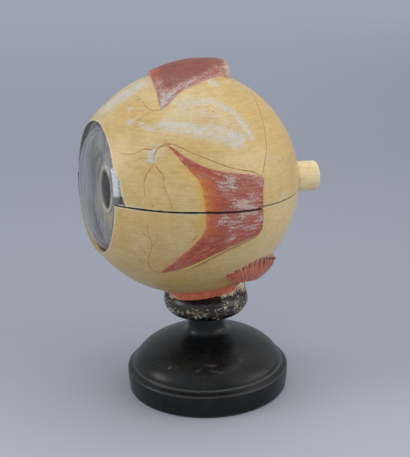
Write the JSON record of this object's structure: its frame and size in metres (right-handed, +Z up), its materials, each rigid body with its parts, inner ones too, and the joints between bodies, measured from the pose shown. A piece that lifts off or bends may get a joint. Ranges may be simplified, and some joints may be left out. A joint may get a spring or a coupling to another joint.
{
  "type": "eye anatomy model",
  "caption": "Dissectible painted eye model on a turned wooden foot: two-part ball with muscles, nerve stub, glass cornea, iris, lens and clear inner body that lift out",
  "frame": {"origin": "On the axis of the turned foot, at the face it rests on", "axes": "+Z up, -Y the way the cornea looks, +Y the side of the optic nerve, +X the temple side"},
  "size_m": [0.148, 0.1554, 0.2232],
  "materials": {
    "black_wood": "ebonised, satin wax",
    "worn_collar": "black gloss varnish, worn through to gold",
    "putty": "dried filler, matt",
    "steel": "dull",
    "muscle_red": "painted plaster, rubbed",
    "sclera_paint": "painted plaster, varnished, rubbed",
    "choroid_paint": "painted, matt",
    "retina_paint": "painted, matt",
    "nerve_paint": "painted plaster, varnished",
    "peg_wood": "bare wood",
    "vitreous_glass": "clear, polished",
    "ciliary_paint": "painted plaster, satin",
    "lens_glass": "clear, polished",
    "iris_paint": "painted, matt",
    "ivory_ring": "aged, satin",
    "clear_glass": "clear, polished, faint streaks"
  },
  "bodies": {
    "stand": {"stand_foot": "black_wood", "stand_collar": "worn_collar", "seat_filler": "putty", "stand_screw": "steel", "screw_washer": "steel", "inferior_rectus": "muscle_red", "inferior_oblique": "muscle_red", "lower_sclera": "sclera_paint", "lower_choroid": "choroid_paint", "lower_retina": "retina_paint", "lateral_rectus_lower": "muscle_red", "medial_rectus_lower": "muscle_red", "optic_nerve": "nerve_paint", "locating_pegs": "peg_wood"},
    "inner_body": {"vitreous_body": "vitreous_glass", "ciliary_ring": "ciliary_paint"},
    "upper_half": {"upper_sclera": "sclera_paint", "upper_choroid": "choroid_paint", "upper_retina": "retina_paint", "superior_rectus": "muscle_red", "lateral_rectus_upper": "muscle_red", "medial_rectus_upper": "muscle_red"},
    "lens": {"crystalline_lens": "lens_glass"},
    "iris": {"iris_disc": "iris_paint", "pupil_ring": "ivory_ring"},
    "cornea": {"cornea_glass": "clear_glass"}
  },
  "joints": [
    {"name": "core_lift", "type": "slide", "parent": "stand", "child": "inner_body", "axis": [0, 0.0489, 0.9988], "range_m": [0, 0.075]},
    {"name": "upper_lift", "type": "slide", "parent": "inner_body", "child": "upper_half", "axis": [0, 0.0489, 0.9988], "range_m": [0, 0.085]},
    {"name": "lens_slide", "type": "slide", "parent": "inner_body", "child": "lens", "axis": [0.0593, -0.997, 0.0488], "range_m": [0, 0.035]},
    {"name": "iris_slide", "type": "slide", "parent": "lens", "child": "iris", "axis": [0.0593, -0.997, 0.0488], "range_m": [0, 0.03]},
    {"name": "cornea_slide", "type": "slide", "parent": "iris", "child": "cornea", "axis": [0.0593, -0.997, 0.0488], "range_m": [0, 0.03]}
  ]
}
